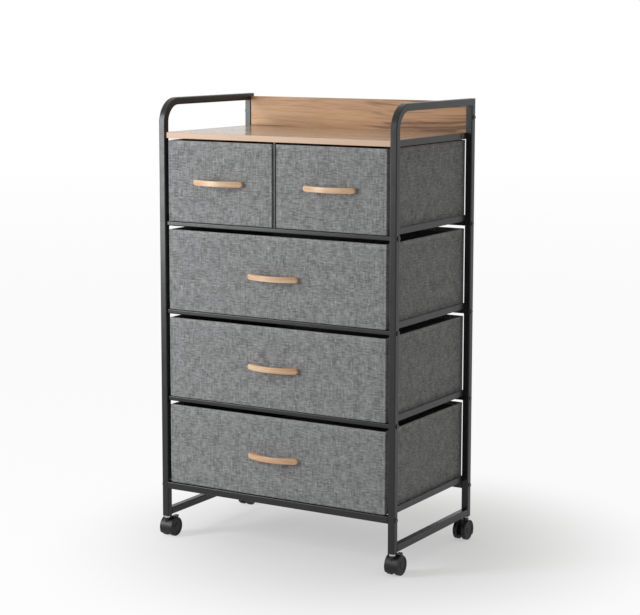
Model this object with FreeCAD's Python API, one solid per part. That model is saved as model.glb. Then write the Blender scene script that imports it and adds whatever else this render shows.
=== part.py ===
"""Fabric drawer dresser on casters, in millimetres.

A black tube frame with two inverted-U sides carries a wood-grain top board, a low back board and
five fabric drawers: two small ones side by side over three wide ones. Four twin-wheel swivel
casters carry it, and the front two have a brake lever.

Frame of the model: +X to the right of someone facing the drawers, +Y to the back, +Z up. The origin
is on the floor, at the middle of the overall width and depth with the drawers shut.
"""

import FreeCAD
import Part
import math
import os

# Overall frame
FRAME_WIDTH = 560.0  # across the outer faces of the posts
FRAME_DEPTH = 340.0  # front of the front posts to back of the rear posts
FRAME_HEIGHT = 883.5  # from the lower end of the posts to the top of the side hoops
CASTER_HEIGHT = 48.0  # floor to the lower end of the posts
HOOP_RISE = 70.5  # top of the side hoops above the top board

# Square tube of the side frames and the bottom cross rails
TUBE = 15.0
TUBE_WALL = 1.2
TUBE_CORNER = 2.2
LEAST_BORE_CORNER = 0.3  # of any tube, however thick its wall
HOOP_BEND = 52.0  # outer radius of the bend at the top of each front post

# Cross rails that carry the drawers
RAIL = 10.0
RAIL_WALL = 1.0
RAIL_CORNER = 2.4
RAIL_RECESS = 4.5  # rail face behind the face of the posts
RAIL_PLUG = 12.0  # threaded end plug welded into each rail
DIVIDER_WIDTH = 7.0  # upright between the two small drawers; it is as deep as a rail
TIERS = 4
FIRST_TIER = 74.0  # top of the bottom cross rail, above the lower end of the posts
LAST_TIER_DROP = 1.0  # top board below where one more tier would be

# Flat bars welded between the posts of each side, flush with their inner faces
RUNG_HEIGHT = 13.0
RUNG_DEPTH = 4.0
RUNG_EDGE = 0.8
RUNG_LIFT = 0.5  # lower edge above the drawer support of its tier

# Fastenings
BOLT_RADIUS = 2.5
BOLT_HOLE_RADIUS = 2.75
BOLT_THREAD_FIT = 0.05
BOLT_REACH = 10.0  # thread inside a rail's plug or the back board
BOLT_HEAD_RADIUS = 4.6
BOLT_HEAD_HEIGHT = 2.4
HEAD_ROUNDING = 0.45  # share of a head's height that is rounded
SOCKET_ACROSS = 3.0  # hexagon socket in a bolt head
SOCKET_DEPTH = 1.5
SCREW_RADIUS = 2.0
SCREW_HOLE_RADIUS = 2.2
SCREW_PILOT_FIT = 0.05
SCREW_REACH = 22.0  # screw inside the end of the top board
SCREW_HEAD_RADIUS = 4.0
SCREW_HEAD_HEIGHT = 1.8

# Boards
BOARD = 12.0
BOARD_EDGE = 0.8
BOARD_SIDE_GAP = 0.2
BOARD_RECESS = 4.5  # front edge of the top board behind the face of the posts
BACK_BOARD_RISE = 64.0  # back board above the top board
BACK_BOARD_INSET = 1.5  # back board in front of the back of the posts
BOARD_SCREW_INSET = 24.0  # screw from the front of the frame, and from its back

# Fabric drawers
DRAWER_HEADROOM = 17.0  # rim of a drawer to the top of the rail of the next tier
DRAWER_RECESS = 2.0  # drawer face behind the face of the posts
DRAWER_SIDE_GAP = 6.5  # drawer side to the inner face of a post
DRAWER_BACK_GAP = 0.5  # drawer back to the back of the posts
DRAWER_WALL = 4.0
DRAWER_FLOOR = 3.0
DRAWER_CORNER = 3.0
DRAWER_INNER_CORNER = 1.5
DRAWER_REST_GAP = 0.3  # drawer floor above its rails
DIVIDER_GAP = 0.7  # small drawer to the divider
BASE_BOARD = 3.0
BASE_BOARD_GAP = 0.5
BASE_BOARD_SEAT = 0.2
BASE_BOARD_CORNER = 2.0

# Bowed wooden handles: an arc that stands on a foot at each end
HANDLE_LENGTH = 118.0
HANDLE_HEIGHT = 11.5
HANDLE_REACH = 23.0
HANDLE_THICKNESS = 6.5
HANDLE_FOOT = 16.0
HANDLE_FOOT_REACH = 7.0  # outer face of the arc at its ends
HANDLE_END_RADIUS = 4.9
HANDLE_EDGE = 1.2
HANDLE_SCREW_RADIUS = 1.5
HANDLE_SCREW_HOLE_RADIUS = 1.75
HANDLE_SCREW_REACH = 5.0
HANDLE_SCREW_HEAD_RADIUS = 3.5
HANDLE_SCREW_HEAD_HEIGHT = 1.6

# Sockets in the feet of the posts and the caster stems that screw into them
SOCKET_LENGTH = 24.0
SOCKET_FIT = 0.1
SOCKET_FLANGE = 1.4
STUD_RADIUS = 4.0
STUD_FIT = 0.05
STUD_LENGTH = 20.0
COLLAR_RADIUS = 6.6
PIVOT_RADIUS = 3.0
PIVOT_FIT = 0.05
PIVOT_LENGTH = 11.0
PIVOT_END_GAP = 0.5

# Twin-wheel casters
WHEEL_RADIUS = 20.2
WHEEL_WIDTH = 9.4
WHEEL_GAP = 10.0  # between the two wheels
WHEEL_EDGE = 1.6
WHEEL_RIM = 2.6
WHEEL_DISH = 1.0
WHEEL_HUB_RADIUS = 6.0
WHEEL_CAP = 1.2
CASTER_TRAIL = 14.3  # wheel axle behind the swivel axis
AXLE_RADIUS = 2.5
AXLE_FIT = 0.05
AXLE_END_GAP = 0.3
HOOD_GAP = 0.6
HOOD_WALL = 1.3
HOOD_OVERHANG = 0.2
HOOD_BOTTOM = 8.0
HOOD_REAR = 5.0  # rear edge of the hood behind the axle
WEB_GAP = 0.4  # between the web of the housing and each wheel
POCKET_WIDTH = 15.0
POCKET_BOTTOM = 31.0
BOSS_RADIUS = 6.4
BOSS_TOP = 42.6
COLLAR_GAP = 0.3
AXLE_BOSS_RADIUS = 6.0
REAR_CASTER_TURN = 180.0  # the rear casters trail forwards, the front ones backwards

# Brake lever of the front casters
LEVER_PIVOT_BACK = 1.5  # lever pivot behind the wheel axle
LEVER_PIVOT_RISE = 12.0
LEVER_PIN_RADIUS = 1.3
LEVER_PIN_FIT = 0.05
LEVER_EYE_RADIUS = 3.0
LEVER_HALF_WIDTH = 2.6
LEVER_SLOT_FIT = 0.3
PEDAL_LENGTH = 17.0
PEDAL_THICKNESS = 2.6
PEDAL_TOP = 40.0
PEDAL_CORNER = 2.3

# Faces and edges are picked by their place and direction to within this
SAME_PLACE = 0.001

# Places that follow from the driving dimensions
INNER_X = FRAME_WIDTH / 2 - TUBE
POST_X = FRAME_WIDTH / 2 - TUBE / 2
RUNG_OUTER_X = INNER_X + RUNG_DEPTH
WHEEL_INNER_X = WHEEL_GAP / 2
WHEEL_OUTER_X = WHEEL_INNER_X + WHEEL_WIDTH
HOOD_X = WHEEL_OUTER_X + HOOD_OVERHANG
HOOD_INNER = WHEEL_RADIUS + HOOD_GAP
HOOD_OUTER = HOOD_INNER + HOOD_WALL
REAR_SKEW = math.radians(REAR_CASTER_TURN)
REAR_HOOD_REACH = HOOD_OUTER * abs(math.cos(REAR_SKEW)) + HOOD_X * abs(math.sin(REAR_SKEW))
REAR_OVERHANG = REAR_HOOD_REACH + CASTER_TRAIL * math.cos(REAR_SKEW) - TUBE / 2
FRONT_OVERHANG = HANDLE_REACH - DRAWER_RECESS
FRONT_Y = FRONT_OVERHANG - (FRONT_OVERHANG + FRAME_DEPTH + REAR_OVERHANG) / 2
BACK_Y = FRONT_Y + FRAME_DEPTH
FRONT_POST_Y = FRONT_Y + TUBE / 2
REAR_POST_Y = BACK_Y - TUBE / 2
FOOT_Z = CASTER_HEIGHT
TOP_Z = FOOT_Z + FRAME_HEIGHT
BOARD_TOP_Z = TOP_Z - HOOP_RISE
TIER_PITCH = (BOARD_TOP_Z + LAST_TIER_DROP - FOOT_Z - FIRST_TIER) / TIERS
TIER_Z = [FOOT_Z + FIRST_TIER + tier * TIER_PITCH for tier in range(TIERS)]
DRAWER_HEIGHT = TIER_PITCH - DRAWER_HEADROOM
BOARD_X = INNER_X - BOARD_SIDE_GAP
BACK_BOARD_BACK_Y = BACK_Y - BACK_BOARD_INSET
BACK_BOARD_FRONT_Y = BACK_BOARD_BACK_Y - BOARD
BACK_BOARD_Y = (BACK_BOARD_FRONT_Y + BACK_BOARD_BACK_Y) / 2
BACK_BOARD_TOP_Z = BOARD_TOP_Z + BACK_BOARD_RISE
BACK_BOLT_Z = BOARD_TOP_Z + BACK_BOARD_RISE / 2
RAIL_FRONT_Y = FRONT_Y + RAIL_RECESS + RAIL / 2
RAIL_REAR_Y = BACK_Y - RAIL_RECESS - RAIL / 2
SCREW_Y = [FRONT_Y + BOARD_SCREW_INSET, BACK_Y - BOARD_SCREW_INSET - TUBE]
SCREW_Z = BOARD_TOP_Z - BOARD / 2
DRAWER_FRONT_Y = FRONT_Y + DRAWER_RECESS
DRAWER_BACK_Y = BACK_Y - DRAWER_BACK_GAP
DRAWER_X = INNER_X - DRAWER_SIDE_GAP
SMALL_DRAWER_X = DIVIDER_WIDTH / 2 + DIVIDER_GAP
HANDLE_SCREW_X = HANDLE_LENGTH / 2 - HANDLE_FOOT / 2
AXLE_Z = WHEEL_RADIUS
WEB_X = WHEEL_INNER_X - WEB_GAP
COLLAR_BOTTOM_Z = BOSS_TOP + COLLAR_GAP
SOCKET_BOTTOM_Z = FOOT_Z - SOCKET_FLANGE
PIVOT_HOLE_Z = BOSS_TOP - PIVOT_LENGTH - PIVOT_END_GAP
LEVER_PIVOT_Y = CASTER_TRAIL + LEVER_PIVOT_BACK
LEVER_PIVOT_Z = AXLE_Z + LEVER_PIVOT_RISE

DRAWERS = {
    "top_left_drawer": (3, -DRAWER_X, -SMALL_DRAWER_X),
    "top_right_drawer": (3, SMALL_DRAWER_X, DRAWER_X),
    "upper_drawer": (2, -DRAWER_X, DRAWER_X),
    "middle_drawer": (1, -DRAWER_X, DRAWER_X),
    "lower_drawer": (0, -DRAWER_X, DRAWER_X),
}
CASTERS = {
    "front_left": (-POST_X, FRONT_POST_Y),
    "front_right": (POST_X, FRONT_POST_Y),
    "rear_left": (-POST_X, REAR_POST_Y),
    "rear_right": (POST_X, REAR_POST_Y),
}
CASTER_TURN = {
    "front_left": 0.0,
    "front_right": 0.0,
    "rear_left": -REAR_CASTER_TURN,
    "rear_right": REAR_CASTER_TURN,
}
BRAKED = ("front_left", "front_right")

AXES = {"x": FreeCAD.Vector(1, 0, 0), "y": FreeCAD.Vector(0, 1, 0), "z": FreeCAD.Vector(0, 0, 1)}
ORIGIN = FreeCAD.Vector(0, 0, 0)


def block(low, high):
    """A box between two opposite corners."""
    size = [b - a for a, b in zip(low, high)]
    return Part.makeBox(*size, FreeCAD.Vector(*low))


def rod(axis, start, length, radius):
    """A cylinder along one axis, from its start point."""
    return Part.makeCylinder(radius, length, FreeCAD.Vector(*start), AXES[axis])


def edges_along(shape, axis):
    """The straight edges of a shape that run along one axis."""
    direction = AXES[axis]
    found = []
    for edge in shape.Edges:
        if isinstance(edge.Curve, Part.Line):
            tangent = edge.tangentAt(edge.FirstParameter)
            if abs(tangent.dot(direction)) > 1 - SAME_PLACE:
                found.append(edge)
    return found


def rounded_bar(axis, low, high, radius):
    """A box whose four edges along one axis are rounded."""
    bar = block(low, high)
    return bar.makeFillet(radius, edges_along(bar, axis))


def tube(axis, low, high, wall, corner, plug=0.0):
    """A rounded rectangular tube along one axis, with solid ends of the plug's length."""
    index = "xyz".index(axis)
    inner_low = [value + (plug if i == index else wall) for i, value in enumerate(low)]
    inner_high = [value - (plug if i == index else wall) for i, value in enumerate(high)]
    bore = rounded_bar(axis, inner_low, inner_high, max(corner - wall, LEAST_BORE_CORNER))
    return rounded_bar(axis, low, high, corner).cut(bore)


def flat_face(shape, axis, position):
    """The flat face of a shape that lies square to an axis at a position."""
    direction = AXES[axis]
    for face in shape.Faces:
        square = abs(face.normalAt(0, 0).dot(direction)) > 1 - SAME_PLACE
        if square and abs(face.CenterOfMass.dot(direction) - position) < SAME_PLACE:
            return face
    raise ValueError("no such face")


def prism(axis, points, start, length):
    """A straight prism on a polygon; its points are the two other coordinates, in X, Y, Z order."""
    index = "xyz".index(axis)
    corners = []
    for pair in points:
        corner = list(pair)
        corner.insert(index, start)
        corners.append(FreeCAD.Vector(*corner))
    outline = Part.makePolygon(corners + corners[:1])
    return Part.Face(outline).extrude(AXES[axis] * length)


def save(name, *solids):
    """Writes one named sub-part."""
    shape = solids[0] if len(solids) == 1 else Part.makeCompound(list(solids))
    shape.exportStep(f"parts/{name}.step")


def mirrored(side, inner, outer):
    """Low and high X of a span on the left (-1) or right (+1) side."""
    return tuple(sorted((side * inner, side * outer)))


def mitre_wedge(side, keeps_rail):
    """What the 45 degree joint at the rear top corner takes off the rail or off the rear post."""
    x_low, x_high = mirrored(side, INNER_X, FRAME_WIDTH / 2)
    inner, outer = (BACK_Y - TUBE, TOP_Z - TUBE), (BACK_Y, TOP_Z)
    corner = (BACK_Y, TOP_Z - TUBE) if keeps_rail else (BACK_Y - TUBE, TOP_Z)
    return prism("x", [inner, outer, corner], x_low, x_high - x_low)


def side_hole(side, y, z, radius, inner=INNER_X):
    """A round hole along X through one side of the frame, from the inner face outwards."""
    x_low, x_high = mirrored(side, inner, FRAME_WIDTH / 2)
    return rod("x", (x_low, y, z), x_high - x_low, radius)


def cross_rail_levels():
    """Height of the bolt at each tier: the bottom rail is a full tube, the others are thinner."""
    return [z - (TUBE if tier == 0 else RAIL) / 2 for tier, z in enumerate(TIER_Z)]


def hoop(side):
    """Front post, bend and top rail of one side, bent from a single tube."""
    x_low, x_high = mirrored(side, INNER_X, FRAME_WIDTH / 2)
    bend_z = TOP_Z - HOOP_BEND
    bend_y = FRONT_Y + HOOP_BEND
    post = tube("z", (x_low, FRONT_Y, FOOT_Z), (x_high, FRONT_Y + TUBE, bend_z), TUBE_WALL, TUBE_CORNER)
    end = flat_face(post, "z", bend_z)
    bend = end.revolve(FreeCAD.Vector(0, bend_y, bend_z), AXES["x"], -90)
    rail = tube("y", (x_low, bend_y, TOP_Z - TUBE), (x_high, BACK_Y, TOP_Z), TUBE_WALL, TUBE_CORNER)
    rail = rail.cut(mitre_wedge(side, True))
    shape = post.fuse([bend, rail]).removeSplitter()
    holes = [side_hole(side, FRONT_POST_Y, z, BOLT_HOLE_RADIUS) for z in cross_rail_levels()[:1]]
    holes += [side_hole(side, RAIL_FRONT_Y, z, BOLT_HOLE_RADIUS) for z in cross_rail_levels()[1:]]
    return shape.cut(holes)


def rear_post(side):
    """Rear post of one side, mitred at its top to meet the hoop."""
    x_low, x_high = mirrored(side, INNER_X, FRAME_WIDTH / 2)
    post = tube("z", (x_low, BACK_Y - TUBE, FOOT_Z), (x_high, BACK_Y, TOP_Z), TUBE_WALL, TUBE_CORNER)
    post = post.cut(mitre_wedge(side, False))
    holes = [side_hole(side, REAR_POST_Y, z, BOLT_HOLE_RADIUS) for z in cross_rail_levels()[:1]]
    holes += [side_hole(side, RAIL_REAR_Y, z, BOLT_HOLE_RADIUS) for z in cross_rail_levels()[1:]]
    holes.append(side_hole(side, BACK_BOARD_Y, BACK_BOLT_Z, BOLT_HOLE_RADIUS))
    return post.cut(holes)


def side_rails(side):
    """A tube between the feet of the two posts, and a flat bar at each tier and at the top board."""
    start, end = FRONT_Y + TUBE, BACK_Y - TUBE
    x_low, x_high = mirrored(side, INNER_X, FRAME_WIDTH / 2)
    foot_low, foot_high = (x_low, start, FOOT_Z), (x_high, end, FOOT_Z + TUBE)
    rungs = [tube("y", foot_low, foot_high, TUBE_WALL, TUBE_CORNER)]
    x_low, x_high = mirrored(side, INNER_X, RUNG_OUTER_X)
    for z in [tier_z + RUNG_LIFT for tier_z in TIER_Z] + [BOARD_TOP_Z - RUNG_HEIGHT]:
        low, high = (x_low, start, z), (x_high, end, z + RUNG_HEIGHT)
        rungs.append(rounded_bar("y", low, high, RUNG_EDGE))
    screw_holes = [side_hole(side, y, SCREW_Z, SCREW_HOLE_RADIUS) for y in SCREW_Y]
    rungs[-1] = rungs[-1].cut(screw_holes)
    return rungs


def cross_rail(y_middle, top, depth, height, wall, corner, bolt_y):
    """A rail between the two sides, with a threaded plug in each end."""
    low = (-INNER_X, y_middle - depth / 2, top - height)
    high = (INNER_X, y_middle + depth / 2, top)
    rail = tube("x", low, high, wall, corner, RAIL_PLUG)
    thread = BOLT_RADIUS + BOLT_THREAD_FIT
    bores = []
    for start in (-INNER_X, INNER_X - RAIL_PLUG):
        bores.append(rod("x", (start, bolt_y, top - height / 2), RAIL_PLUG, thread))
    return rail.cut(bores)


def bottom_rail(y_middle):
    return cross_rail(y_middle, TIER_Z[0], TUBE, TUBE, TUBE_WALL, TUBE_CORNER, y_middle)


def tier_rail(y_middle, tier):
    return cross_rail(y_middle, TIER_Z[tier], RAIL, RAIL, RAIL_WALL, RAIL_CORNER, y_middle)


def divider(y_middle):
    """Upright between the two small drawers, from the top tier's rail to the top board."""
    low = (-DIVIDER_WIDTH / 2, y_middle - RAIL / 2, TIER_Z[-1])
    high = (DIVIDER_WIDTH / 2, y_middle + RAIL / 2, BOARD_TOP_Z - BOARD)
    return tube("z", low, high, RAIL_WALL, RAIL_CORNER)


def top_board():
    low = (-BOARD_X, FRONT_Y + BOARD_RECESS, BOARD_TOP_Z - BOARD)
    high = (BOARD_X, BACK_BOARD_FRONT_Y - BOARD_SIDE_GAP, BOARD_TOP_Z)
    board = rounded_bar("x", low, high, BOARD_EDGE)
    pilot = SCREW_RADIUS + SCREW_PILOT_FIT
    reach = SCREW_REACH + BOARD_SIDE_GAP
    holes = []
    for y in SCREW_Y:
        holes.append(rod("x", (-BOARD_X, y, SCREW_Z), reach, pilot))
        holes.append(rod("x", (BOARD_X - reach, y, SCREW_Z), reach, pilot))
    return board.cut(holes)


def back_board():
    low = (-BOARD_X, BACK_BOARD_FRONT_Y, BOARD_TOP_Z - BOARD)
    high = (BOARD_X, BACK_BOARD_BACK_Y, BACK_BOARD_TOP_Z)
    board = rounded_bar("x", low, high, BOARD_EDGE)
    thread = BOLT_RADIUS + BOLT_THREAD_FIT
    reach = BOLT_REACH + BOARD_SIDE_GAP
    starts = (-BOARD_X, BOARD_X - reach)
    holes = [rod("x", (start, BACK_BOARD_Y, BACK_BOLT_Z), reach, thread) for start in starts]
    return board.cut(holes)


def side_fastener(side, outer, y, z, shank_radius, reach, head_radius, head_height):
    """A domed-head bolt or screw that enters one side of the frame along X, from an outer face."""
    x_low, x_high = mirrored(side, INNER_X - reach, outer)
    shank = rod("x", (x_low, y, z), x_high - x_low, shank_radius)
    head = rod("x", (outer if side > 0 else -outer - head_height, y, z), head_height, head_radius)
    face = side * (outer + head_height)
    rim = [edge for edge in head.Edges if abs(edge.CenterOfMass.x - face) < SAME_PLACE]
    head = head.makeFillet(head_height * HEAD_ROUNDING, rim)
    socket = []
    for i in range(6):
        turn = math.radians(60 * i)
        corner = SOCKET_ACROSS / 2 / math.cos(math.radians(30))
        socket.append((y + corner * math.cos(turn), z + corner * math.sin(turn)))
    start = face - SOCKET_DEPTH if side > 0 else face
    return head.fuse(shank).removeSplitter().cut(prism("x", socket, start, SOCKET_DEPTH))


def frame_bolts():
    bolts = []
    for side in (-1, 1):
        for tier, z in enumerate(cross_rail_levels()):
            front_y = FRONT_POST_Y if tier == 0 else RAIL_FRONT_Y
            rear_y = REAR_POST_Y if tier == 0 else RAIL_REAR_Y
            for y in (front_y, rear_y):
                size = (BOLT_RADIUS, BOLT_REACH, BOLT_HEAD_RADIUS, BOLT_HEAD_HEIGHT)
                bolts.append(side_fastener(side, FRAME_WIDTH / 2, y, z, *size))
    return bolts


def board_screws():
    size = (SCREW_RADIUS, SCREW_REACH, SCREW_HEAD_RADIUS, SCREW_HEAD_HEIGHT)
    screws = []
    for side in (-1, 1):
        for y in SCREW_Y:
            screws.append(side_fastener(side, RUNG_OUTER_X, y, SCREW_Z, *size))
    return screws


def back_board_bolts():
    size = (BOLT_RADIUS, BOLT_REACH, BOLT_HEAD_RADIUS, BOLT_HEAD_HEIGHT)
    place = (FRAME_WIDTH / 2, BACK_BOARD_Y, BACK_BOLT_Z)
    return [side_fastener(side, *place, *size) for side in (-1, 1)]


def post_socket(x, y):
    """Plastic plug with a threaded bore in the foot of a post."""
    inside = TUBE / 2 - TUBE_WALL - SOCKET_FIT
    low, high = (x - inside, y - inside, FOOT_Z), (x + inside, y + inside, FOOT_Z + SOCKET_LENGTH)
    plug = rounded_bar("z", low, high, TUBE_CORNER - TUBE_WALL)
    flange_low = (x - TUBE / 2, y - TUBE / 2, SOCKET_BOTTOM_Z)
    flange = rounded_bar("z", flange_low, (x + TUBE / 2, y + TUBE / 2, FOOT_Z), TUBE_CORNER)
    bore_length = SOCKET_LENGTH + SOCKET_FLANGE
    return plug.fuse(flange).cut(rod("z", (x, y, SOCKET_BOTTOM_Z), bore_length, STUD_RADIUS + STUD_FIT))


def caster_stem(x, y):
    """Threaded stud, collar and swivel pin of a caster."""
    pin = rod("z", (x, y, BOSS_TOP - PIVOT_LENGTH), PIVOT_LENGTH + COLLAR_GAP, PIVOT_RADIUS)
    collar = rod("z", (x, y, COLLAR_BOTTOM_Z), SOCKET_BOTTOM_Z - COLLAR_BOTTOM_Z, COLLAR_RADIUS)
    stud = rod("z", (x, y, SOCKET_BOTTOM_Z), STUD_LENGTH, STUD_RADIUS)
    return pin.fuse([collar, stud]).removeSplitter()


def placed(shape, corner):
    """Turns a caster piece about its stem and sets it under its post."""
    x, y = CASTERS[corner]
    turned = shape.copy()
    turned.rotate(ORIGIN, AXES["z"], CASTER_TURN[corner])
    turned.translate(FreeCAD.Vector(x, y, 0))
    return turned


def caster_housing(braked):
    """Hood over both wheels, the web between them, and the bosses for the stem and the axle."""
    axle = (CASTER_TRAIL, AXLE_Z)
    reach = 2 * HOOD_OUTER
    keep_low = (-HOOD_X, CASTER_TRAIL - reach, HOOD_BOTTOM)
    keep = block(keep_low, (HOOD_X, CASTER_TRAIL + HOOD_REAR, AXLE_Z + reach))
    pocket_top = AXLE_Z + reach
    slope = (POCKET_WIDTH / 2) / (BOSS_TOP - POCKET_BOTTOM)
    half_top = slope * (pocket_top - POCKET_BOTTOM)
    notch = prism("y", [(0, POCKET_BOTTOM), (half_top, pocket_top), (-half_top, pocket_top)], -reach, reach)
    hood = rod("x", (-HOOD_X, *axle), 2 * HOOD_X, HOOD_OUTER)
    hood = hood.cut(rod("x", (-HOOD_X, *axle), 2 * HOOD_X, HOOD_INNER)).common(keep).cut(notch)
    web = rod("x", (-WEB_X, *axle), 2 * WEB_X, HOOD_INNER + HOOD_WALL / 2).common(keep)
    web = web.cut(block((-WEB_X, -reach, POCKET_BOTTOM), (WEB_X, BOSS_RADIUS, pocket_top)))
    web_boss = rod("x", (-WEB_X, *axle), 2 * WEB_X, AXLE_BOSS_RADIUS)
    neck_low = PIVOT_HOLE_Z - PIVOT_RADIUS
    neck = rod("z", (0, 0, neck_low), BOSS_TOP - neck_low, WEB_X)
    clear = HOOD_INNER**2 - (CASTER_TRAIL - BOSS_RADIUS) ** 2
    boss_low = AXLE_Z + math.sqrt(clear)
    boss = rod("z", (0, 0, boss_low), BOSS_TOP - boss_low, BOSS_RADIUS)
    shape = hood.fuse([web, web_boss, neck, boss]).removeSplitter()
    pin_hole = rod("z", (0, 0, PIVOT_HOLE_Z), BOSS_TOP - PIVOT_HOLE_Z, PIVOT_RADIUS + PIVOT_FIT)
    axle_hole = rod("x", (-WEB_X, *axle), 2 * WEB_X, AXLE_RADIUS + AXLE_FIT / 2)
    shape = shape.cut([pin_hole, axle_hole])
    if braked:
        shape = shape.cut(lever_slot())
    return shape


def lever_slot():
    """Space for the brake lever in the web and the hood, with the holes for its pin."""
    half = LEVER_HALF_WIDTH + LEVER_SLOT_FIT
    eye = LEVER_EYE_RADIUS + LEVER_SLOT_FIT
    front = LEVER_PIVOT_Y - eye
    bottom = LEVER_PIVOT_Z - eye
    slot = block((-half, front, bottom), (half, CASTER_TRAIL + HOOD_OUTER, AXLE_Z + HOOD_OUTER))
    pin = rod("x", (-WEB_X, LEVER_PIVOT_Y, LEVER_PIVOT_Z), 2 * WEB_X, LEVER_PIN_RADIUS + LEVER_PIN_FIT)
    return slot.fuse(pin)


def brake_lever():
    """Pedal, arm and pivot pin of a brake lever, moulded in one piece."""
    pivot = (LEVER_PIVOT_Y, LEVER_PIVOT_Z)
    eye = rod("x", (-LEVER_HALF_WIDTH, *pivot), 2 * LEVER_HALF_WIDTH, LEVER_EYE_RADIUS)
    pin = rod("x", (-WEB_X, *pivot), 2 * WEB_X, LEVER_PIN_RADIUS)
    flank = LEVER_EYE_RADIUS * math.sqrt(0.5)
    pedal_front = CASTER_TRAIL + HOOD_REAR + LEVER_SLOT_FIT
    pedal_low = PEDAL_TOP - PEDAL_THICKNESS
    arm_points = [
        (LEVER_PIVOT_Y - flank, LEVER_PIVOT_Z + flank),
        (LEVER_PIVOT_Y + flank, LEVER_PIVOT_Z - flank),
        (pedal_front + PEDAL_THICKNESS, pedal_low),
        (pedal_front + PEDAL_THICKNESS, PEDAL_TOP),
        (pedal_front, PEDAL_TOP),
    ]
    arm = prism("x", arm_points, -LEVER_HALF_WIDTH, 2 * LEVER_HALF_WIDTH)
    pedal = block((-WEB_X, pedal_front, pedal_low), (WEB_X, pedal_front + PEDAL_LENGTH, PEDAL_TOP))
    end = [e for e in edges_along(pedal, "z") if e.CenterOfMass.y > pedal_front + PEDAL_LENGTH / 2]
    pedal = pedal.makeFillet(min(PEDAL_CORNER, WEB_X / 2), end)
    return eye.fuse([pin, arm, pedal]).removeSplitter()


def caster_axle():
    reach = WHEEL_OUTER_X - WHEEL_CAP - AXLE_END_GAP
    return rod("x", (-reach, CASTER_TRAIL, AXLE_Z), 2 * reach, AXLE_RADIUS)


def caster_wheel(side):
    """Wheel turned from its half section: rim, dished outer face, hub cap and blind bore."""
    bore = AXLE_RADIUS + AXLE_FIT
    rim_x = WHEEL_OUTER_X - WHEEL_EDGE
    dish_x = WHEEL_OUTER_X - WHEEL_DISH
    tread = WHEEL_RADIUS
    shoulder = tread - WHEEL_EDGE
    dish = shoulder - WHEEL_RIM
    cap_x = WHEEL_OUTER_X - WHEEL_CAP

    def at(x, r):
        return FreeCAD.Vector(side * x, CASTER_TRAIL, AXLE_Z + r)

    bulge = WHEEL_EDGE * math.sqrt(0.5)
    bevel = WHEEL_EDGE / 2
    shape_edges = [
        Part.LineSegment(at(cap_x, 0), at(cap_x, bore)),
        Part.LineSegment(at(cap_x, bore), at(WHEEL_INNER_X, bore)),
        Part.LineSegment(at(WHEEL_INNER_X, bore), at(WHEEL_INNER_X, tread - bevel)),
        Part.LineSegment(at(WHEEL_INNER_X, tread - bevel), at(WHEEL_INNER_X + bevel, tread)),
        Part.LineSegment(at(WHEEL_INNER_X + bevel, tread), at(rim_x, tread)),
        Part.Arc(at(rim_x, tread), at(rim_x + bulge, shoulder + bulge), at(WHEEL_OUTER_X, shoulder)),
        Part.LineSegment(at(WHEEL_OUTER_X, shoulder), at(WHEEL_OUTER_X, dish)),
        Part.LineSegment(at(WHEEL_OUTER_X, dish), at(dish_x, dish - WHEEL_DISH)),
        Part.LineSegment(at(dish_x, dish - WHEEL_DISH), at(dish_x, WHEEL_HUB_RADIUS + WHEEL_DISH)),
        Part.LineSegment(at(dish_x, WHEEL_HUB_RADIUS + WHEEL_DISH), at(WHEEL_OUTER_X, WHEEL_HUB_RADIUS)),
        Part.LineSegment(at(WHEEL_OUTER_X, WHEEL_HUB_RADIUS), at(WHEEL_OUTER_X, 0)),
        Part.LineSegment(at(WHEEL_OUTER_X, 0), at(cap_x, 0)),
    ]
    section = Part.Face(Part.Wire([edge.toShape() for edge in shape_edges]))
    return section.revolve(FreeCAD.Vector(0, CASTER_TRAIL, AXLE_Z), AXES["x"], 360)


def drawer_floor_z(tier):
    return TIER_Z[tier] + DRAWER_REST_GAP


def drawer_box(tier, x_low, x_high):
    """Fabric-covered open box, with clearance holes for the handle's screws."""
    z = drawer_floor_z(tier)
    top = z + DRAWER_HEIGHT
    outer = rounded_bar("z", (x_low, DRAWER_FRONT_Y, z), (x_high, DRAWER_BACK_Y, top), DRAWER_CORNER)
    inner_low = (x_low + DRAWER_WALL, DRAWER_FRONT_Y + DRAWER_WALL, z + DRAWER_FLOOR)
    inner_high = (x_high - DRAWER_WALL, DRAWER_BACK_Y - DRAWER_WALL, top)
    box = outer.cut(rounded_bar("z", inner_low, inner_high, DRAWER_INNER_CORNER))
    holes = []
    for x, height in handle_screw_points(tier, x_low, x_high):
        holes.append(rod("y", (x, DRAWER_FRONT_Y, height), DRAWER_WALL, HANDLE_SCREW_HOLE_RADIUS))
    return box.cut(holes)


def base_board(tier, x_low, x_high):
    """Stiff board that lies loose on the drawer's fabric floor."""
    inset = DRAWER_WALL + BASE_BOARD_GAP
    z = drawer_floor_z(tier) + DRAWER_FLOOR + BASE_BOARD_SEAT
    low = (x_low + inset, DRAWER_FRONT_Y + inset, z)
    return rounded_bar("z", low, (x_high - inset, DRAWER_BACK_Y - inset, z + BASE_BOARD), BASE_BOARD_CORNER)


def handle_middle(tier, x_low, x_high):
    return (x_low + x_high) / 2, drawer_floor_z(tier) + DRAWER_HEIGHT / 2


def handle_screw_points(tier, x_low, x_high):
    x, z = handle_middle(tier, x_low, x_high)
    return [(x - HANDLE_SCREW_X, z), (x + HANDLE_SCREW_X, z)]


def crown_edges(bow):
    """The two long edges of the outer face: the only ones that reach the crown of the bow."""
    crown_y = DRAWER_FRONT_Y - HANDLE_REACH
    return [edge for edge in bow.Edges if edge.BoundBox.YMin < crown_y + SAME_PLACE]


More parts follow.
